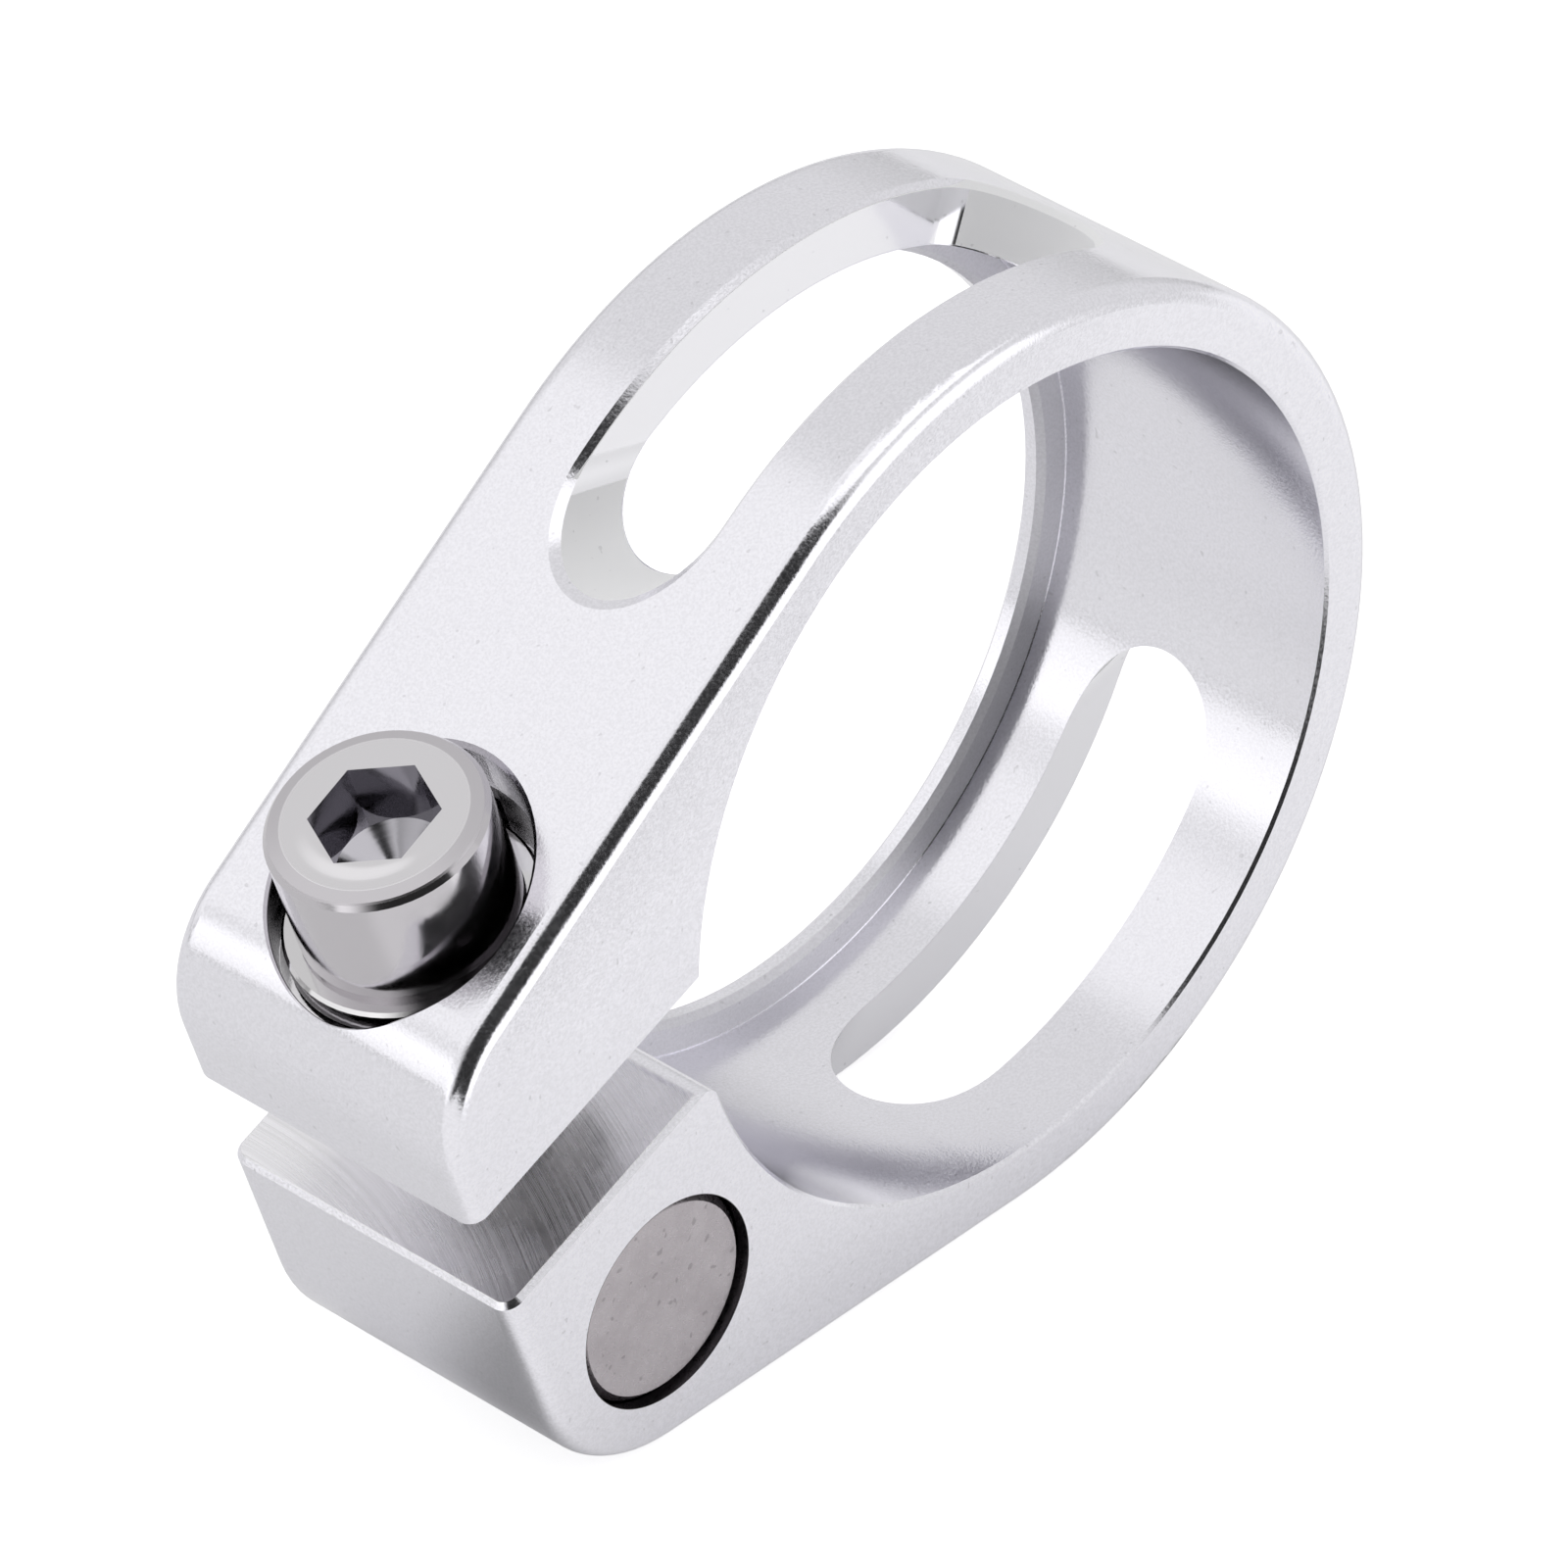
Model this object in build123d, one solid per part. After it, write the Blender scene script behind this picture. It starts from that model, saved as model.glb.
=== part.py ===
from build123d import *
import os
from math import cos, radians, sin, tan

# A clamp collar for the top of a bicycle's seat tube.
# One aluminium ring grips the tube. It is split between two ears, and a lip at its far end
# stops on the tube's rim. A socket head screw stands on a washer in a pocket of the upper ear,
# and pulls on a barrel nut that lies across the lower ear.
# Lengths are in millimetres and angles in degrees.
#
# The pieces are drawn in the clamp's own axes: X points away from the ears along the middle
# line of the outline, Y runs along the bore towards the lip, and Z follows the screw.
# At the end everything is turned about the bore, so that the lower ear's outer flat lies level.

# Ring
tube_diameter = 31.8
wall = 2.35
width = 13.2
lip_height = 1.3
lip_thickness = 0.95
rim_radius = 0.7
bore_bevel = 0.12
lip_front_bevel = 0.25
lip_back_bevel = 0.2

# Ears
taper_angle = 17.9
ear_length = 8.6
upper_corner_radius = 4.7
lower_corner_radius = 6.3
slit_width = 4.3
slit_offset = 4.15
slit_tilt = 4.3
slit_bevel = 0.2
slit_bore_radius = 1.0

# Lightening slots through the ring's wall
# A slot's start and end are angles from the ears' middle line, at the bore's edge. A lean is
# the angle between the slot's end wall and the radius there, positive if the slot grows outwards.
slot_width = 6.1
upper_slot_start = 64.0
upper_slot_end = 141.0
upper_end_lean = -12.0
lower_slot_start = 66.8
lower_slot_end = 141.8
lower_end_lean = 37.5
start_lean = 36.0
slot_bevel = 0.25

# Screw, an M5 of about 20 mm under its smooth head
screw_inset = 6.1
screw_shift = 0.2
screw_diameter = 5.0
screw_end = 3.0
head_diameter = 7.8
head_height = 5.0
head_flat_diameter = 6.5
head_chamfer_drop = 0.18
head_shoulder_bevel = 0.2
head_foot_chamfer = 0.2
screw_tip_chamfer = 0.6
key_size = 4.0
key_turn = 6.0
key_depth = 2.6
key_cone_angle = 120.0

# Washer, a small M5 one
washer_diameter = 9.0
washer_hole = 5.3
washer_thickness = 1.0
washer_edge = 0.12
washer_play = 0.1
head_play = 0.02

# Pocket for the screw's head, and the hole for its shank
pocket_depth = 2.73
pocket_diameter = 9.6
pocket_bevel = 0.15
shank_hole = 5.8

# Barrel nut
nut_depth = 6.33
nut_hole = 8.0
nut_clearance = 0.05
nut_recess = 0.25
nut_chamfer = 0.3
thread_clearance = 0.03

# Sizes that follow
bore_radius = tube_diameter / 2
outer_radius = bore_radius + wall
lip_radius = bore_radius - lip_height
half_width = width / 2
shoulder = half_width - lip_thickness
ear_reach = outer_radius + ear_length
screw_reach = ear_reach - screw_inset
slope = radians(taper_angle)
end_height = (outer_radius - ear_reach * sin(slope)) / cos(slope)
screw_height = (outer_radius - screw_reach * sin(slope)) / cos(slope)
tangent_point = outer_radius * Vector(-sin(slope), cos(slope))
pocket_floor = screw_height - pocket_depth
nut_drop = screw_height - nut_depth
washer_base = pocket_floor + washer_play
washer_top = washer_base + washer_thickness
head_seat = washer_top + head_play
head_top = head_seat + head_height
nut_radius = nut_hole / 2 - nut_clearance
beyond = 2 * ear_reach
tiny = 0.01
screw_place = Pos(-screw_reach, -screw_shift, 0)
nut_place = Pos(-screw_reach, 0, -nut_drop)


def along_bore(radius, start, end):
    """A cylinder about the bore's axis, from start to end along it."""
    disc = Plane(origin=(0, start, 0), z_dir=(0, 1, 0)) * Circle(radius)
    return extrude(disc, end - start)


def along_screw(radius, start, end):
    """A cylinder about the screw's axis, between two heights."""
    return screw_place * Pos(0, 0, start) * extrude(Circle(radius), end - start)


def edges_where(shape, test):
    """The edges of a shape whose middle passes a test."""
    return shape.edges().filter_by(lambda edge: test(edge @ 0.5))


def off_axis(point):
    """A point's distance from the bore's axis."""
    return Vector(point.X, point.Z).length


def off_screw(point):
    """A point's distance from the screw's axis."""
    return Vector(point.X + screw_reach, point.Y + screw_shift).length


def ray(angle):
    """The direction at an angle from the ears' middle line, as seen from the bore's open end."""
    return Vector(-cos(radians(angle)), sin(radians(angle)))


def outline():
    """The drop-shaped outline: a circle, two flats tangent to it, and the ears' end."""
    top, low = tangent_point, Vector(tangent_point.X, -tangent_point.Y)
    upper_corner = Vector(-ear_reach, end_height)
    lower_corner = Vector(-ear_reach, -end_height)
    edges = [
        ThreePointArc(low, (outer_radius, 0), top),
        Line(top, upper_corner),
        Line(upper_corner, lower_corner),
        Line(lower_corner, low),
    ]
    face = make_face(edges)
    for corner, radius in ((upper_corner, upper_corner_radius), (lower_corner, lower_corner_radius)):
        face = fillet(face.vertices().sort_by_distance(corner)[:1], radius)
    return face


def slit(start, end):
    """The cut between the ears, from one distance to another from the bore's axis."""
    middle = Rot(Z=slit_tilt) * Pos(-(start + end) / 2, slit_offset)
    return middle * Rectangle(end - start, slit_width)


def bore_with_slit(radius):
    """The bore and the beginning of the slit, with the corners between them rounded."""
    void = Circle(radius) + slit(0, radius + 2 * slit_bore_radius)
    corners = void.vertices().filter_by(lambda corner: abs(Vector(corner).length - radius) < 0.01)
    return Plane.XZ * fillet(corners.filter_by(lambda corner: corner.X < 0), slit_bore_radius)


def slot_end_axis(angle, lean, side):
    """The ends of the cutter's axis at one end of a slot, inside the bore and outside the ring.

    Side is 1 at the end near the ears, and -1 at the far end."""
    along = ray(angle - side * lean)
    across = ray(angle - side * lean + side * 90)
    start = bore_radius * ray(angle) + slot_width / 2 * across - slot_width * along
    return start, start + bore_radius * along


def slot_cutter(start_angle, end_angle, end_lean):
    """The space that a milling cutter sweeps from one end of a slot to the other."""
    near_start, near_stop = slot_end_axis(start_angle, start_lean, 1)
    far_start, far_stop = slot_end_axis(end_angle, end_lean, -1)
    top = 2 * outer_radius * ray((start_angle + end_angle) / 2)
    sweep = Plane.XZ * Polygon(near_start, near_stop, top, far_stop, far_start, align=None)
    cutter = extrude(sweep, slot_width / 2, both=True)
    for start, stop in ((near_start, near_stop), (far_start, far_stop)):
        axis = Line((start.X, 0, start.Y), (stop.X, 0, stop.Y))
        cutter += extrude(Plane(axis @ 0, z_dir=axis % 0) * Circle(slot_width / 2), axis.length)
    return cutter


def off_slit(point):
    """A point's distance from the middle plane of the slit."""
    tilt = radians(slit_tilt)
    return abs(point.Z * cos(tilt) - point.X * sin(tilt) - slit_offset)


def split_blank():
    """The outline drawn out to the ring's width, with its rims rounded, and then sawn open."""
    blank = extrude(Plane.XZ * outline(), half_width, both=True)
    blank = fillet(edges_where(blank, lambda middle: abs(middle.Y) > half_width - tiny), rim_radius)
    blank -= extrude(Plane.XZ * slit(0, beyond), width, both=True)
    sawn = edges_where(blank, lambda middle: abs(off_slit(middle) - slit_width / 2) < tiny)
    return chamfer(sawn.filter_by(lambda edge: (edge @ 0.5).X < -bore_radius / 2), slit_bevel)


def bevel_cut(radius, height, size, side):
    """What a bevel takes from a bore's edge, which lies at a height along the bore.

    Side is 1 if the edge faces the lip's end, and -1 if it faces the open end."""
    inner, outer = radius - size, radius + 2 * size
    beyond_edge = height + side * size
    corners = [(inner, height - 2 * side * size), (outer, beyond_edge), (inner, beyond_edge)]
    return revolve(Polygon(*corners, align=None), Axis.Y)


def split_ring():
    """The blank, bored and stepped at the lip."""
    ring = split_blank()
    ring -= extrude(bore_with_slit(lip_radius), width, both=True)
    ring -= Pos(0, shoulder - width, 0) * extrude(bore_with_slit(bore_radius), width, both=True)
    ring -= bevel_cut(bore_radius, -half_width, bore_bevel, -1)
    ring -= bevel_cut(lip_radius, shoulder, lip_front_bevel, -1)
    ring -= bevel_cut(lip_radius, half_width, lip_back_bevel, 1)
    return ring


def slotted_ring():
    """The split ring with its two slots, whose outer rims are rounded."""
    ring = split_ring()
    ring -= slot_cutter(upper_slot_start, upper_slot_end, upper_end_lean)
    ring -= mirror(slot_cutter(lower_slot_start, lower_slot_end, lower_end_lean), Plane.XY)
    near_middle = edges_where(ring, lambda middle: abs(middle.Y) < slot_width / 2 + tiny)
    outside = near_middle.filter_by(lambda edge: off_axis(edge @ 0.5) > outer_radius - tiny)
    curved = outside.filter_by(lambda edge: abs((edge % 0.5).Y) < 1 - tiny)
    rims = curved.filter_by(lambda edge: (edge @ 0.5).X > -ear_reach / 2)
    return chamfer(rims, slot_bevel)


def clamp_body():
    body = slotted_ring() - along_screw(pocket_diameter / 2, pocket_floor, beyond)
    pocket = edges_where(body, lambda middle: abs(off_screw(middle) - pocket_diameter / 2) < tiny)
    above_floor = pocket.filter_by(lambda edge: (edge @ 0.5).Z > pocket_floor + tiny)
    rim = above_floor.filter_by(lambda edge: abs((edge % 0.5).Z) < 1 - tiny)
    body = chamfer(rim, pocket_bevel)
    body -= along_screw(shank_hole / 2, -nut_drop, beyond)
    return body - nut_place * along_bore(nut_hole / 2, -width, width)


def barrel_nut():
    ends = half_width - nut_recess
    nut = along_bore(nut_radius, -ends, ends)
    nut = chamfer(nut.edges().filter_by(GeomType.CIRCLE), nut_chamfer)
    thread_radius = screw_diameter / 2 + thread_clearance
    return nut_place * nut - along_screw(thread_radius, -nut_drop - nut_hole, nut_hole)


def washer():
    disc = along_screw(washer_diameter / 2, washer_base, washer_top)
    disc -= along_screw(washer_hole / 2, pocket_floor, head_top)
    return chamfer(disc.edges().filter_by(GeomType.CIRCLE), washer_edge)


def clamp_screw():
    flat, side, shank = head_flat_diameter / 2, head_diameter / 2, screw_diameter / 2
    tip = -nut_drop - screw_end
    profile = Polyline(
        (0, tip),
        (shank - screw_tip_chamfer, tip),
        (shank, tip + screw_tip_chamfer),
        (shank, head_seat),
        (side - head_foot_chamfer, head_seat),
        (side, head_seat + head_foot_chamfer),
        (side, head_top - head_chamfer_drop),
        (flat, head_top),
        (0, head_top),
        (0, tip),
    )
    face = make_face(profile)
    shoulder_corner = face.vertices().group_by(Axis.X)[-1].sort_by(Axis.Y)[-1:]
    section = Plane.XZ * chamfer(shoulder_corner, head_shoulder_bevel)
    screw = revolve(section, Axis.Z)
    across_corners = key_size / cos(radians(30)) / 2
    mouth = Pos(0, 0, head_top - key_depth) * Rot(Z=key_turn) * RegularPolygon(across_corners, 6)
    cone_depth = key_size / 2 / tan(radians(key_cone_angle / 2))
    cone = Pos(0, 0, head_top - key_depth - cone_depth / 2) * Cone(tiny, key_size / 2, cone_depth)
    screw -= extrude(mouth, key_depth)
    screw -= cone
    return screw_place * screw


def main():
    at_rest = Rot(Y=-taper_angle)
    pieces = {
        "clamp_body": clamp_body(),
        "clamp_screw": clamp_screw(),
        "washer": washer(),
        "barrel_nut": barrel_nut(),
    }
    os.makedirs("parts", exist_ok=True)
    for name, piece in pieces.items():
        export_step(at_rest * piece, f"parts/{name}.step")


main()
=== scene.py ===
import math

import bpy
from mathutils import Matrix, Vector


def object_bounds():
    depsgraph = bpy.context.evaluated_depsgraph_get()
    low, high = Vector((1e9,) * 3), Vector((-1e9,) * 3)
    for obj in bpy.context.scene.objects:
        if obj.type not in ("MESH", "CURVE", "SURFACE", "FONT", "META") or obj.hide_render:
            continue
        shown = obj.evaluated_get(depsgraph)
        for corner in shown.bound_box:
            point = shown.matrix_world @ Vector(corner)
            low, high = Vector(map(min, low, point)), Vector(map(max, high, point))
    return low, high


# The looks of a bicycle's seatpost clamp: a split aluminium ring, drawn tight by a socket head
# screw and a barrel nut. Lengths are in metres, and a number times MM is in millimetres.

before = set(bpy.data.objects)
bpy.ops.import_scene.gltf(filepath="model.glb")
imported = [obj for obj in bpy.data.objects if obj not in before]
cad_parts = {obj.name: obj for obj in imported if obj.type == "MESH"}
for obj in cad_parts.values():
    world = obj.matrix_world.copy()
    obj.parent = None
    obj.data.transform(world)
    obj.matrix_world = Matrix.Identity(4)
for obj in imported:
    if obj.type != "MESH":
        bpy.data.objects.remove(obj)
cad_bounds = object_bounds()

MM = 0.001
X_AXIS, Y_AXIS, Z_AXIS = (1, 0, 0), (0, 1, 0), (0, 0, 1)


# The clamp's own axes. They are turned about the bore, out of the level flat that the clamp rests
# on, and the slit leans a little more.

def turned(angle):
    """The level and the upright direction, both turned about the bore."""
    return (math.cos(angle), 0, math.sin(angle)), (-math.sin(angle), 0, math.cos(angle))


TAPER = math.radians(17.9)
SLIT_TILT = math.radians(4.3)
OWN_X, OWN_Z = turned(TAPER)
ALONG_SLIT, ACROSS_SLIT = turned(TAPER + SLIT_TILT)

# The screw's axis, measured from the bore's axis and from half the width
SCREW_REACH = 20.75 * MM
SCREW_SHIFT = 0.2 * MM


class Nodes:
    """Short ways to add nodes to a tree. A value is a number, a colour or a node's output."""

    def __init__(self, tree):
        self.tree = tree

    def new(self, kind):
        return self.tree.nodes.new(kind)

    def put(self, value, socket):
        if isinstance(value, bpy.types.NodeSocket):
            self.tree.links.new(value, socket)
        else:
            socket.default_value = value

    def calc(self, operation, *values):
        node = self.new("ShaderNodeMath")
        node.operation = operation
        for value, socket in zip(values, node.inputs):
            self.put(value, socket)
        return node.outputs[0]

    def plus(self, first, second):
        return self.calc("ADD", first, second)

    def minus(self, first, second):
        return self.calc("SUBTRACT", first, second)

    def over(self, first, second):
        return self.calc("DIVIDE", first, second)

    def product(self, *values):
        total = values[0]
        for value in values[1:]:
            total = self.calc("MULTIPLY", total, value)
        return total

    def absolute(self, value):
        return self.calc("ABSOLUTE", value)

    def less(self, value, limit):
        return self.calc("LESS_THAN", value, limit)

    def more(self, value, limit):
        return self.calc("GREATER_THAN", value, limit)

    def either(self, first, second):
        return self.calc("MAXIMUM", first, second)

    def outside(self, region):
        return self.minus(1.0, region)

    def length(self, first, second):
        total = self.calc("MULTIPLY", first, first)
        return self.calc("SQRT", self.calc("MULTIPLY_ADD", second, second, total))

    def dot(self, vector, direction):
        node = self.new("ShaderNodeVectorMath")
        node.operation = "DOT_PRODUCT"
        self.put(vector, node.inputs[0])
        self.put(direction, node.inputs[1])
        return node.outputs["Value"]

    def steps(self, value, low, high, at_low=0.0, at_high=1.0):
        """Goes smoothly from one value to another between two limits."""
        node = self.new("ShaderNodeMapRange")
        node.interpolation_type = "SMOOTHSTEP"
        names = ("Value", "From Min", "From Max", "To Min", "To Max")
        for given, name in zip((value, low, high, at_low, at_high), names):
            self.put(given, node.inputs[name])
        return node.outputs["Result"]

    def fade(self, value, low, high):
        """Goes smoothly from one to nothing between two limits."""
        return self.steps(value, low, high, 1.0, 0.0)

    def blend(self, factor, first, second):
        """Mixes two colours or two numbers."""
        kinds = (tuple, bpy.types.NodeSocketColor)
        colours = isinstance(first, kinds) or isinstance(second, kinds)
        node = self.new("ShaderNodeMix")
        node.data_type = "RGBA" if colours else "FLOAT"
        sockets = {socket.name: socket for socket in node.inputs if socket.enabled}
        self.put(factor, sockets["Factor"])
        for value, name in ((first, "A"), (second, "B")):
            self.put((*value, 1) if isinstance(value, tuple) else value, sockets[name])
        return [socket for socket in node.outputs if socket.enabled][0]

    def noise(self, vector, scale, detail, roughness=0.6, dimensions="3D"):
        node = self.new("ShaderNodeTexNoise")
        node.noise_dimensions = dimensions
        for value, name in ((scale, "Scale"), (detail, "Detail"), (roughness, "Roughness")):
            self.put(value, node.inputs[name])
        self.put(vector, node.inputs["W" if dimensions == "1D" else "Vector"])
        return node.outputs["Fac"]

    def bump(self, relief, height, below=None):
        node = self.new("ShaderNodeBump")
        node.inputs["Distance"].default_value = height
        node.inputs["Strength"].default_value = 1.0
        self.put(relief, node.inputs["Height"])
        if below is not None:
            self.put(below, node.inputs["Normal"])
        return node.outputs["Normal"]

    def surface(self):
        """A point's place in the object, and the direction its surface faces."""
        node = self.new("ShaderNodeTexCoord")
        return node.outputs["Object"], node.outputs["Normal"]


# Materials. A noise's constants are its scale and its detail, for some also its roughness and its
# dimensions. A span is the pair of limits between which something changes.
NOISE_SPAN = (0.3, 0.7)


def metal(name, base, roughness):
    """A new material with metal's main shader, and ways to add nodes to it."""
    material = bpy.data.materials.new(name)
    material.use_nodes = True
    shader = material.node_tree.nodes["Principled BSDF"]
    shader.inputs["Base Color"].default_value = (*base, 1)
    shader.inputs["Metallic"].default_value = 1.0
    shader.inputs["Roughness"].default_value = roughness
    return material, Nodes(material.node_tree), shader


def own_place(n, place):
    """A point's place in the clamp's own axes, seen from the screw's axis: away from the ears,
    along the bore, and its height along the screw."""
    from_screw = n.plus(n.dot(place, OWN_X), SCREW_REACH)
    return from_screw, n.plus(n.dot(place, Y_AXIS), SCREW_SHIFT), n.dot(place, OWN_Z)


# Aluminium. Most limits are a few hundredths of a millimetre wider than the surface they hold.
POCKET_REACH = 4.83 * MM
POCKET_TOP = 12.2 * MM
POCKET_BOTTOM = 9.65 * MM
ABOVE_POCKET_FLOOR = 9.8 * MM
SHANK_HOLE_REACH = 2.92 * MM
NUT_DROP = 6.15 * MM
NUT_HOLE_REACH = 4.02 * MM
SLIT_OFFSET = 4.15 * MM
SLIT_REACH = 2.18 * MM
SLIT_BOTTOM = -14.2 * MM
SLOT_REACH = 3.07 * MM
SLOTS_BEGIN = -15 * MM
SLOT_WALL_OUTWARD = 0.75
SLOT_END_SIDEWAYS = 0.92
BEYOND_BORE = 15.95 * MM
WITHIN_BORE = 15.85 * MM
BEFORE_STEP = 5.3 * MM
STEP_SIDEWAYS = -0.5
SAW_BACK = 44 * MM
SAW_ASIDE = 6 * MM

GRAIN = (9000, 2)
CLOUD = (450, 3)
SPECKS = (4200, 0)
SPECK_SPAN = (0.80, 0.84)
SPECK_SHARE = 0.3
SAW_ARCS = (5200, 4, 0.75, "1D")
ARC_SPAN = (0.35, 0.65)
ARC_BREAKS = (500, 2)
BREAK_SPAN = (0.3, 0.6)
BREAK_SHARES = (0.5, 1.0)
MARK_SPAN = (0.2, 0.7)

SATIN = (0.868, 0.860, 0.906)
SATIN_LOW = (0.826, 0.818, 0.862)
SATIN_HIGH = (0.910, 0.902, 0.950)
SPECK = (0.45, 0.44, 0.46)
POLISHED = (0.90, 0.895, 0.925)
# Painted highlight: the slots' round ends are a matt white that stands in for a bright reflection
SLOT_END_PAINTED_HIGHLIGHT = (0.96, 0.96, 0.97)
SAWN_LOW = (0.84, 0.835, 0.855)
SAWN_HIGH = (0.95, 0.94, 0.97)
# Painted shade: the walls of the pocket and the nut's hole are nearly black, for the shade inside
# them
HOLE_PAINTED_SHADE = (0.075, 0.07, 0.075)
BRIGHT_HOLE_METAL = (0.85, 0.84, 0.86)
ALUMINIUM_ROUGHNESS = 0.2
SATIN_ROUGHNESS = (0.12, 0.2)
CLOUD_ROUGHNESS = (-0.01, 0.015)
POLISHED_ROUGHNESS = 0.1
SLOT_END_ROUGHNESS = 0.4
STEP_ROUGHNESS = 0.35
STEP_METALLIC = 0.45
SAWN_ROUGHNESS = (0.18, 0.34)
HOLE_ROUGHNESS = 0.12
GRAIN_RELIEF = 0.004 * MM
SAWN_RELIEF = 0.008 * MM


def holes(n, place):
    """Where the pocket, the shank's hole and the nut's hole are, which get painted shade, and
    where their brighter part is, which keeps a nearly plain colour: the pocket's floor and the
    shank's hole below it."""
    x, y, z = own_place(n, place)
    to_screw = n.length(x, y)
    in_pocket = n.product(n.less(z, POCKET_TOP), n.more(z, POCKET_BOTTOM))
    in_pocket = n.product(n.less(to_screw, POCKET_REACH), in_pocket)
    by_screw = n.either(in_pocket, n.less(to_screw, SHANK_HOLE_REACH))
    in_nut_hole = n.less(n.length(x, n.plus(z, NUT_DROP)), NUT_HOLE_REACH)
    return n.either(by_screw, in_nut_hole), n.product(by_screw, n.less(z, ABOVE_POCKET_FLOOR))


def slots(n, place, facing, radius):
    """Where the slots' walls are, and where their round ends are."""
    across = n.product(n.dot(place, X_AXIS), n.dot(facing, X_AXIS))
    upright = n.product(n.dot(place, Z_AXIS), n.dot(facing, Z_AXIS))
    outward = n.over(n.plus(across, upright), radius)
    near_slot = n.less(n.absolute(n.dot(place, Y_AXIS)), SLOT_REACH)
    wall = n.product(near_slot, n.more(radius, BEYOND_BORE), n.less(outward, SLOT_WALL_OUTWARD))
    wall = n.product(wall, n.more(n.dot(place, OWN_X), SLOTS_BEGIN))
    return wall, n.product(wall, n.less(n.absolute(n.dot(facing, Y_AXIS)), SLOT_END_SIDEWAYS))


def step(n, place, facing, radius):
    """Where the step is that the seat tube's rim stops on."""
    faces_tube = n.less(n.dot(facing, Y_AXIS), STEP_SIDEWAYS)
    in_ring = n.product(n.less(radius, WITHIN_BORE), faces_tube)
    return n.product(in_ring, n.more(n.dot(place, Y_AXIS), BEFORE_STEP))


def slit(n, place):
    """Where the slit's walls are, and the arcs that a saw leaves in them."""
    along = n.dot(place, ALONG_SLIT)
    off_middle = n.absolute(n.minus(n.dot(place, ACROSS_SLIT), SLIT_OFFSET))
    walls = n.product(n.less(off_middle, SLIT_REACH), n.less(along, SLIT_BOTTOM))
    from_saw = n.length(n.plus(along, SAW_BACK), n.minus(n.dot(place, Y_AXIS), SAW_ASIDE))
    return walls, n.noise(from_saw, *SAW_ARCS)


def aluminium():
    """Satin aluminium under a clear anodised film. The slots' walls are polished, and their round
    ends are painted matt white as a painted highlight. The step is duller, the slit is sawn, and
    the walls of the pocket and the nut's hole are painted nearly black as painted shade."""
    material, n, shader = metal("clear_anodised_aluminium", SATIN, ALUMINIUM_ROUGHNESS)
    place, facing = n.surface()
    radius = n.length(n.dot(place, X_AXIS), n.dot(place, Z_AXIS))
    in_shaded_hole, bright_hole = holes(n, place)
    wall, painted_highlight_end = slots(n, place, facing, radius)
    on_step = step(n, place, facing, radius)
    sawn, arcs = slit(n, place)

    grain = n.noise(place, *GRAIN)
    cloud = n.noise(place, *CLOUD)
    specks = n.noise(place, *SPECKS)
    breaks = n.noise(place, *ARC_BREAKS)
    marks = n.product(arcs, n.steps(breaks, *BREAK_SPAN, *BREAK_SHARES))

    satin = n.blend(n.steps(grain, *NOISE_SPAN), SATIN_LOW, SATIN_HIGH)
    # The slots' round ends get the white painted highlight, and are not metal there
    colour = n.blend(painted_highlight_end, n.blend(wall, satin, POLISHED), SLOT_END_PAINTED_HIGHLIGHT)
    colour = n.blend(n.steps(specks, *SPECK_SPAN, 0.0, SPECK_SHARE), colour, SPECK)
    colour = n.blend(sawn, colour, n.blend(n.steps(arcs, *ARC_SPAN), SAWN_LOW, SAWN_HIGH))
    # Painted shade in the holes, except on the pocket's floor and the shank's hole below it
    colour = n.blend(in_shaded_hole, colour, n.blend(bright_hole, HOLE_PAINTED_SHADE, BRIGHT_HOLE_METAL))
    n.put(colour, shader.inputs["Base Color"])

    metallic = n.blend(on_step, n.blend(painted_highlight_end, 1.0, 0.0), STEP_METALLIC)
    n.put(metallic, shader.inputs["Metallic"])

    by_grain = n.steps(grain, *NOISE_SPAN, *SATIN_ROUGHNESS)
    roughness = n.plus(by_grain, n.steps(cloud, *NOISE_SPAN, *CLOUD_ROUGHNESS))
    roughness = n.blend(wall, roughness, POLISHED_ROUGHNESS)
    roughness = n.blend(painted_highlight_end, roughness, SLOT_END_ROUGHNESS)
    roughness = n.blend(on_step, roughness, STEP_ROUGHNESS)
    roughness = n.blend(sawn, roughness, n.steps(marks, *MARK_SPAN, *SAWN_ROUGHNESS))
    n.put(n.blend(in_shaded_hole, roughness, HOLE_ROUGHNESS), shader.inputs["Roughness"])

    fine = n.bump(n.product(grain, n.outside(n.either(wall, sawn))), GRAIN_RELIEF)
    n.put(n.bump(n.product(marks, sawn), SAWN_RELIEF, fine), shader.inputs["Normal"])
    return material


# Steel. Heights are measured along the screw, from the level of the bore's axis.
HEAD_TOP = 15.87 * MM
TOP_BEGINS = HEAD_TOP - 0.01 * MM
CHAMFER_BOTTOM = HEAD_TOP - 0.2 * MM
CHAMFER_RADIUS = 3.2 * MM
SOCKET_BOTTOM = HEAD_TOP - 4.2 * MM
SOCKET_REACH = 2.32 * MM
SHANK_REACH = 2.52 * MM
SHANK_TOP = 9 * MM
PITCH = 0.8 * MM
FLANK = (0.06, 0.44)
FALL_SPAN = (2.1 * MM, 3.0 * MM)

SCREW_CLOUD = (900, 3)
TURNED_RINGS = (9000, 3, 0.7, "1D")
WASHER_CLOUD = (1200, 3)
NUT_GRAIN = (5200, 3)
NUT_CLOUD = (700, 3)
NUT_PITS = (2400, 1)
PIT_SPAN = (0.68, 0.73)
PIT_SHARE = 0.45

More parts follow.
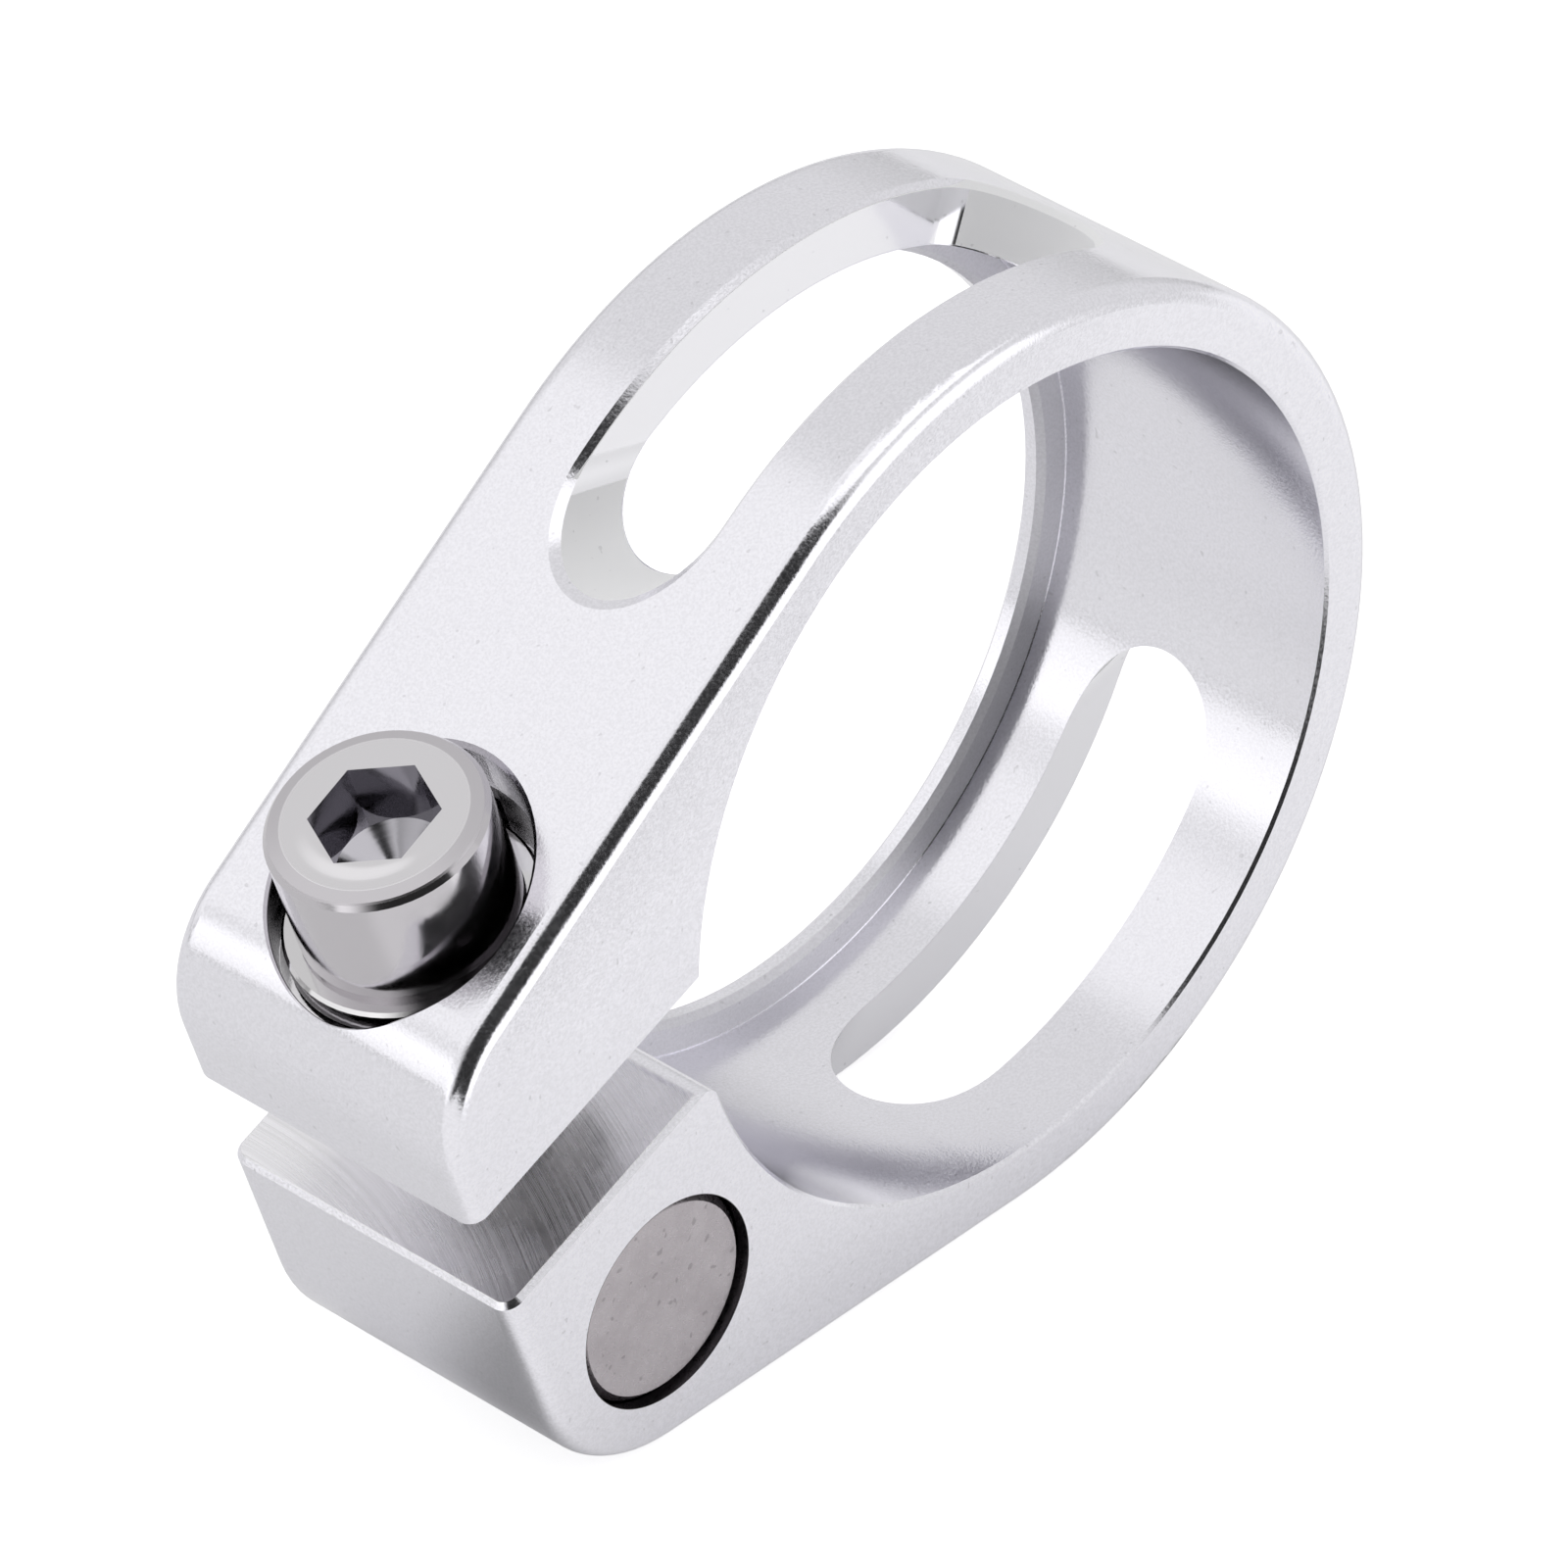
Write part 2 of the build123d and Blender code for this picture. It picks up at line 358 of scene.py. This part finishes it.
SCREW = (0.62, 0.60, 0.625)
SCREW_SIDE = (0.60, 0.58, 0.605)
# Painted light: the head's top is a lighter copy of the same steel than its side
SCREW_TOP_PAINTED_LIGHT = (0.78, 0.765, 0.785)
# Painted shade: the socket's inside is darker, for the shade in it
SOCKET_PAINTED_SHADE = (0.42, 0.41, 0.44)
SCREW_SHANK = (0.55, 0.54, 0.54)
WASHER = (0.72, 0.71, 0.72)
NUT = (0.50, 0.46, 0.48)
NUT_LOW = (0.47, 0.435, 0.455)
NUT_HIGH = (0.53, 0.495, 0.515)
NUT_PIT = (0.22, 0.20, 0.21)
STEEL_ROUGHNESS = 0.1
HEAD_ROUGHNESS = (0.08, 0.15)
CHAMFER_ROUGHNESS = 0.3
SHANK_ROUGHNESS = 0.22
WASHER_ROUGHNESS = (0.07, 0.16)
NUT_ROUGHNESS = 0.3
NUT_ROUGHNESSES = (0.24, 0.38)
RINGS_RELIEF = 0.0012 * MM
FALL_RELIEF = 0.12 * MM
THREAD_RELIEF = 0.42 * MM
WASHER_RELIEF = 0.004 * MM
NUT_RELIEF = 0.003 * MM


def screw_steel():
    """Polished steel, with painted shade inside the socket and a top painted lighter than the
    side as painted light. The top falls off slightly from the socket's mouth, and the shank shows
    an
    M5 thread, both as a relief in the shading."""
    material, n, shader = metal("polished_screw_steel", SCREW, STEEL_ROUGHNESS)
    place, _ = n.surface()
    x, y, height = own_place(n, place)
    radius, turn = n.length(x, y), n.calc("ARCTAN2", y, x)
    on_shank = n.product(n.less(radius, SHANK_REACH), n.less(height, SHANK_TOP))
    on_top = n.more(height, TOP_BEGINS)
    in_socket = n.product(n.less(radius, SOCKET_REACH), n.more(height, SOCKET_BOTTOM))
    in_socket = n.product(in_socket, n.outside(on_top))
    on_chamfer = n.product(n.more(height, CHAMFER_BOTTOM), n.more(radius, CHAMFER_RADIUS))

    # The top gets the lighter painted light, the side the plainer steel
    colour = n.blend(on_top, SCREW_SIDE, SCREW_TOP_PAINTED_LIGHT)
    # Painted shade inside the socket
    colour = n.blend(in_socket, colour, SOCKET_PAINTED_SHADE)
    n.put(n.blend(on_shank, colour, SCREW_SHANK), shader.inputs["Base Color"])

    roughness = n.steps(n.noise(place, *SCREW_CLOUD), *NOISE_SPAN, *HEAD_ROUGHNESS)
    roughness = n.blend(on_chamfer, roughness, CHAMFER_ROUGHNESS)
    n.put(n.blend(on_shank, roughness, SHANK_ROUGHNESS), shader.inputs["Roughness"])

    rings = n.noise(radius, *TURNED_RINGS)
    relief = n.bump(n.product(rings, n.outside(on_shank)), RINGS_RELIEF)
    relief = n.bump(n.product(n.fade(radius, *FALL_SPAN), on_top), FALL_RELIEF, relief)
    phase = n.plus(n.over(height, PITCH), n.over(turn, 2 * math.pi))
    thread = n.steps(n.calc("PINGPONG", phase, 0.5), *FLANK)
    n.put(n.bump(n.product(thread, on_shank), THREAD_RELIEF, relief), shader.inputs["Normal"])
    return material


def washer_steel():
    """Polished steel with a faint unevenness."""
    material, n, shader = metal("polished_washer_steel", WASHER, STEEL_ROUGHNESS)
    place, _ = n.surface()
    cloud = n.noise(place, *WASHER_CLOUD)
    n.put(n.steps(cloud, *NOISE_SPAN, *WASHER_ROUGHNESS), shader.inputs["Roughness"])
    n.put(n.bump(cloud, WASHER_RELIEF), shader.inputs["Normal"])
    return material


def nut_steel():
    """Satin steel with a warm tint, and the fine grain and pits of a turned end."""
    material, n, shader = metal("satin_nut_steel", NUT, NUT_ROUGHNESS)
    place, _ = n.surface()
    grain = n.noise(place, *NUT_GRAIN)
    cloud = n.noise(place, *NUT_CLOUD)
    pits = n.steps(n.noise(place, *NUT_PITS), *PIT_SPAN, 0.0, PIT_SHARE)
    warm = n.blend(n.steps(cloud, *NOISE_SPAN), NUT_LOW, NUT_HIGH)
    n.put(n.blend(pits, warm, NUT_PIT), shader.inputs["Base Color"])
    n.put(n.steps(grain, *NOISE_SPAN, *NUT_ROUGHNESSES), shader.inputs["Roughness"])
    n.put(n.bump(grain, NUT_RELIEF), shader.inputs["Normal"])
    return material


def dress(node, material):
    """Gives a CAD node its material."""
    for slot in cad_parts[node].material_slots:
        slot.material = material


dress("clamp_body", aluminium())
dress("clamp_screw", screw_steel())
dress("washer", washer_steel())
dress("barrel_nut", nut_steel())

# Studio: a white tent round a small table, open to a dark room on the camera's side. An edge is
# given by the direction across it, towards the side that it begins.
ROOM = 0.03
TENT_LEFT = 0.5
TENT_BACK_LEFT = 0.98
TENT_BACK_RIGHT = 0.77
TENT_CARD = 1.3
TENT_OVERHEAD = 1.25
TENT_BETWEEN = 0.85
TENT_SEAM = 0.55
HORIZON = 0.42
HORIZON_DUSK = 0.84
STRAIGHT_UP = 0.001

LEFT_DIRECTION = (-0.469, 0.883, 0)
BACK_SPAN = (-0.36, -0.03)
LEFT_SIDE_SPAN = (-0.75, -0.5)
LEFT_SIDE_TOP = (0.84, 0.9)
LEFT_SIDE_LIGHT_SPAN = (0.2, 0.85)
SEAM_EDGE = (-0.777, -0.629, 0)
SEAM_SPAN = (-0.06, 0.0)
CARD_RIGHT_EDGE = (-0.743, -0.669, 0)
CARD_SPAN = (0.0, 0.04)
CARD_TOP = (0.30, 0.46)
BETWEEN_SPAN = (0.0, 0.05)
BETWEEN_TOP = (0.5, 0.6)
OVERHEAD_EDGE = (-0.53, -0.848, 0)
OVERHEAD_SPAN = (0.0, 0.08)
OVERHEAD_BOTTOM = (0.66, 0.72)
OVERHEAD_BACK = (-0.1, 0.0)
OPENING_EDGE = (-0.875, -0.188, -0.447)
OPENING_SPAN = (-0.115, -0.055)
OPENING_LEFT_SPAN = (-0.05, 0.45)
LOW_CARD_LEFT_EDGE = (0.9945, 0.1045, 0)
LOW_CARD_LEFT_SPAN = (-0.015, 0.015)
LOW_CARD_TOP = (0.2, 0.3)
AT_BACK_SPAN = (0.0, 0.1)
DUSK_SPAN = (0.05, 0.4)
HORIZON_SPAN = (0.01, 0.025)


def tent_behind(n, x, level, z, from_left):
    """The tent's back, and its left side, which gets darker towards the front."""
    to_right = n.over(x, level)
    light = n.steps(to_right, *BACK_SPAN, TENT_BACK_LEFT, TENT_BACK_RIGHT)
    left_side = n.product(n.fade(to_right, *LEFT_SIDE_SPAN), n.fade(z, *LEFT_SIDE_TOP))
    side_light = n.steps(from_left, *LEFT_SIDE_LIGHT_SPAN, TENT_LEFT, TENT_BACK_LEFT)
    return n.blend(left_side, light, side_light)


def tent_in_front(n, light, direction, y, z, from_left):
    """From the right: a seam, a bright card with the tent above it, and a bright panel overhead.
    Then the opening, with the card's low part in front of it."""
    low = n.fade(z, *CARD_TOP)
    seam = n.product(n.steps(n.dot(direction, SEAM_EDGE), *SEAM_SPAN), low)
    light = n.blend(seam, light, TENT_SEAM)
    past_card = n.dot(direction, CARD_RIGHT_EDGE)
    between = n.product(n.steps(past_card, *BETWEEN_SPAN), n.fade(z, *BETWEEN_TOP))
    light = n.blend(between, light, TENT_BETWEEN)
    card = n.steps(past_card, *CARD_SPAN)
    light = n.blend(n.product(card, low), light, TENT_CARD)
    overhead = n.steps(n.dot(direction, OVERHEAD_EDGE), *OVERHEAD_SPAN)
    overhead = n.product(overhead, n.steps(z, *OVERHEAD_BOTTOM), n.fade(y, *OVERHEAD_BACK))
    light = n.blend(overhead, light, TENT_OVERHEAD)

    opening = n.steps(n.dot(direction, OPENING_EDGE), *OPENING_SPAN)
    opening = n.product(opening, n.fade(from_left, *OPENING_LEFT_SPAN))
    light = n.blend(opening, light, ROOM)
    past_left = n.steps(n.dot(direction, LOW_CARD_LEFT_EDGE), *LOW_CARD_LEFT_SPAN)
    low_card = n.product(card, n.fade(z, *LOW_CARD_TOP), past_left)
    return n.blend(low_card, light, TENT_CARD)


def tent():
    """The tent is the world, drawn by direction. The camera sees it as plain white."""
    world = bpy.data.worlds.new("studio_tent")
    world.use_nodes = True
    n = Nodes(world.node_tree)
    direction = n.new("ShaderNodeTexCoord").outputs["Generated"]
    x, y, z = (n.dot(direction, axis) for axis in (X_AXIS, Y_AXIS, Z_AXIS))
    level = n.either(n.length(x, y), STRAIGHT_UP)
    from_left = n.over(n.dot(direction, LEFT_DIRECTION), level)
    light = tent_behind(n, x, level, z, from_left)
    light = tent_in_front(n, light, direction, y, z, from_left)

    # The dusk above the table's back edge, and the line where the tent meets the table
    at_back = n.steps(y, *AT_BACK_SPAN)
    dusk = n.product(n.steps(z, *DUSK_SPAN, HORIZON_DUSK, 1.0), light)
    light = n.blend(at_back, light, dusk)
    line = n.product(n.fade(n.absolute(z), *HORIZON_SPAN), at_back)
    light = n.blend(line, light, HORIZON)

    seen = n.new("ShaderNodeLightPath").outputs["Is Camera Ray"]
    sky = n.tree.nodes["Background"]
    n.put(n.blend(seen, light, 1.0), sky.inputs["Strength"])
    sky.inputs["Color"].default_value = (1, 1, 1, 1)
    bpy.context.scene.world = world


tent()

# Table
FLOOR_SIZE = 3.0
FLOOR_GAP = 0.02 * MM
FLOOR_WHITE = (0.8, 0.8, 0.8)
FLOOR_GLOW_SEEN = 0.68
FLOOR_GLOW_MIRRORED = 0.18
FLOOR_GLOW_FRONT = 0.13
FLOOR_FRONT_SPAN = (-12 * MM, -5 * MM)
FLOOR_GLOW_RIGHT = 0.06
FLOOR_RIGHT = (0.8, -0.6, 0)
FLOOR_RIGHT_SPAN = (45 * MM, 90 * MM)
# Painted shadow: in the metal, the floor is darker round a place by the lower ear's end
FLOOR_PAINTED_SHADOW = 0.5
FLOOR_PAINTED_SHADOW_PLACE = (-26 * MM, -3 * MM)
FLOOR_PAINTED_SHADOW_SPAN = (2 * MM, 7 * MM)
TABLE_CORNER = Vector((-5, -27, 0)) * MM
TABLE_LEFT_EDGE = (0.73, -0.68, 0)
TABLE_RIGHT_EDGE = (-0.34, -0.94, 0)
TABLE_EDGE_BLUR = 1 * MM


def past_table(n, place, edge):
    """Whether a point lies past one of the table's two front edges, which meet in its corner."""
    corner = TABLE_CORNER.dot(edge)
    return n.steps(n.dot(place, edge), corner - TABLE_EDGE_BLUR, corner + TABLE_EDGE_BLUR)


def floor_light(n, place, seen, mirrored):
    """The floor's own light, as the camera and the metal see it, and the share of the floor's
    light that is seen, which in the metal is lowered close to the lower ear's end by a painted
    shadow."""
    x, y = n.dot(place, X_AXIS), n.dot(place, Y_AXIS)
    shadow_x, shadow_y = FLOOR_PAINTED_SHADOW_PLACE
    to_painted_shadow = n.length(n.minus(x, shadow_x), n.minus(y, shadow_y))
    share = n.blend(mirrored, 1.0, n.steps(to_painted_shadow, *FLOOR_PAINTED_SHADOW_SPAN, FLOOR_PAINTED_SHADOW, 1.0))
    at_right = FLOOR_GLOW_MIRRORED + FLOOR_GLOW_RIGHT
    right = n.steps(n.dot(place, FLOOR_RIGHT), *FLOOR_RIGHT_SPAN, FLOOR_GLOW_MIRRORED, at_right)
    front = n.steps(y, *FLOOR_FRONT_SPAN, FLOOR_GLOW_FRONT, 0.0)
    in_metal = n.product(mirrored, share, n.plus(right, front))
    return n.calc("MULTIPLY_ADD", seen, FLOOR_GLOW_SEEN, in_metal), share


def floor_white():
    """Matt white, which keeps the object's shadow. The camera sees it lit up to plain white. In
    the metal it carries a painted shadow by the lower ear's end, and it ends at the table's front
    edges, where the tent and the room show."""
    material = bpy.data.materials.new("studio_white")
    material.use_nodes = True
    n = Nodes(material.node_tree)
    n.tree.nodes.clear()
    out = n.new("ShaderNodeOutputMaterial")
    place, _ = n.surface()
    path = n.new("ShaderNodeLightPath")
    seen, mirrored = path.outputs["Is Camera Ray"], path.outputs["Is Glossy Ray"]
    strength, share = floor_light(n, place, seen, mirrored)
    diffuse = n.new("ShaderNodeBsdfDiffuse")
    # In the metal the white is darkened by the painted shadow by the lower ear's end
    n.put(n.blend(share, (0, 0, 0), FLOOR_WHITE), diffuse.inputs["Color"])
    glow = n.new("ShaderNodeEmission")
    n.put(strength, glow.inputs["Strength"])
    both = n.new("ShaderNodeAddShader")
    n.put(diffuse.outputs[0], both.inputs[0])
    n.put(glow.outputs[0], both.inputs[1])
    past = [past_table(n, place, edge) for edge in (TABLE_LEFT_EDGE, TABLE_RIGHT_EDGE)]
    end = n.new("ShaderNodeMixShader")
    n.put(n.product(*past, mirrored), end.inputs[0])
    n.put(both.outputs[0], end.inputs[1])
    n.put(n.new("ShaderNodeBsdfTransparent").outputs[0], end.inputs[2])
    n.put(end.outputs[0], out.inputs["Surface"])
    return material


def floor():
    low, _ = cad_bounds
    mesh = bpy.data.meshes.new("floor")
    half = FLOOR_SIZE / 2
    z = low[2] - FLOOR_GAP
    corners = [(-half, -half, z), (half, -half, z), (half, half, z), (-half, half, z)]
    mesh.from_pydata(corners, [], [(0, 1, 2, 3)])
    mesh.materials.append(floor_white())
    piece = bpy.data.objects.new("floor", mesh)
    bpy.context.scene.collection.objects.link(piece)


floor()

# Camera, as fitted to the photograph
PHOTO_PIXELS = 1600
FOCAL_PIXELS = 13271
SENSOR = 36.0
CLIP_START, CLIP_END = 0.01, 10
CAMERA_PLACE = Vector((-267.0, -249.2, 259.6)) * MM
CAMERA_RIGHT = Vector((0.68240, -0.73087, -0.01233))
CAMERA_DOWN = Vector((-0.43385, -0.39138, -0.81154))


def camera():
    data = bpy.data.cameras.new("camera")
    data.sensor_fit = "HORIZONTAL"
    data.sensor_width = SENSOR
    data.lens = FOCAL_PIXELS / PHOTO_PIXELS * SENSOR
    data.clip_start, data.clip_end = CLIP_START, CLIP_END
    holder = bpy.data.objects.new("camera", data)
    right, up = CAMERA_RIGHT.normalized(), -CAMERA_DOWN.normalized()
    turn = Matrix((right, up, right.cross(up))).transposed().to_4x4()
    holder.matrix_world = Matrix.Translation(CAMERA_PLACE) @ turn
    bpy.context.scene.collection.objects.link(holder)
    bpy.context.scene.camera = holder


camera()
bpy.context.scene.view_settings.view_transform = "Standard"

bpy.context.view_layer.update()
